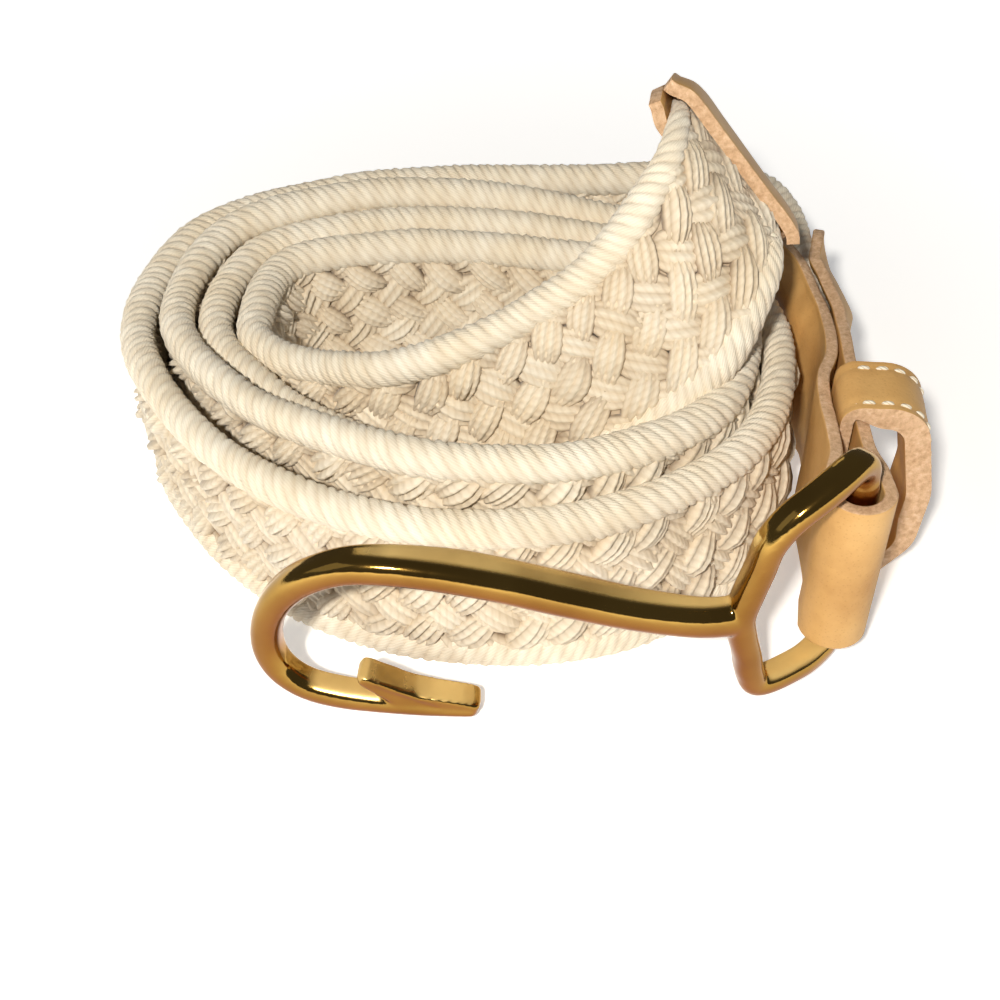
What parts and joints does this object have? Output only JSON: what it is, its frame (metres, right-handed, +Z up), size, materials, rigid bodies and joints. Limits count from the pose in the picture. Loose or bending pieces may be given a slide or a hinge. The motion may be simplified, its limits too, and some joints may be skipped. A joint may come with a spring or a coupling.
{
  "type": "braided rope belt",
  "caption": "Flat braided cotton belt coiled on its edge, with stitched tan leather ends and a brass fish-hook buckle that swings on its bar.",
  "frame": {"origin": "middle of the whole belt's box, on the floor it lies on", "axes": "+Z up; -Y towards the side where the buckle lies in front of the coil; +X towards the leather strap"},
  "size_m": [0.1428, 0.1193, 0.0769],
  "materials": {
    "cotton": "matt braided cotton",
    "leather": "natural vegetable-tanned, soft sheen",
    "brass": "polished, slightly aged"
  },
  "bodies": {
    "belt": {"braided_band": "cotton", "buckle_strap": "leather", "keeper": "leather", "end_tab": "leather"},
    "buckle": {"hook_buckle": "brass"}
  },
  "joints": [
    {"name": "buckle_swing", "type": "hinge", "parent": "belt", "child": "buckle", "pos_m": [0.0536, -0.0438, 0], "axis": [0, 0, 1], "range_deg": [0, 150]}
  ]
}
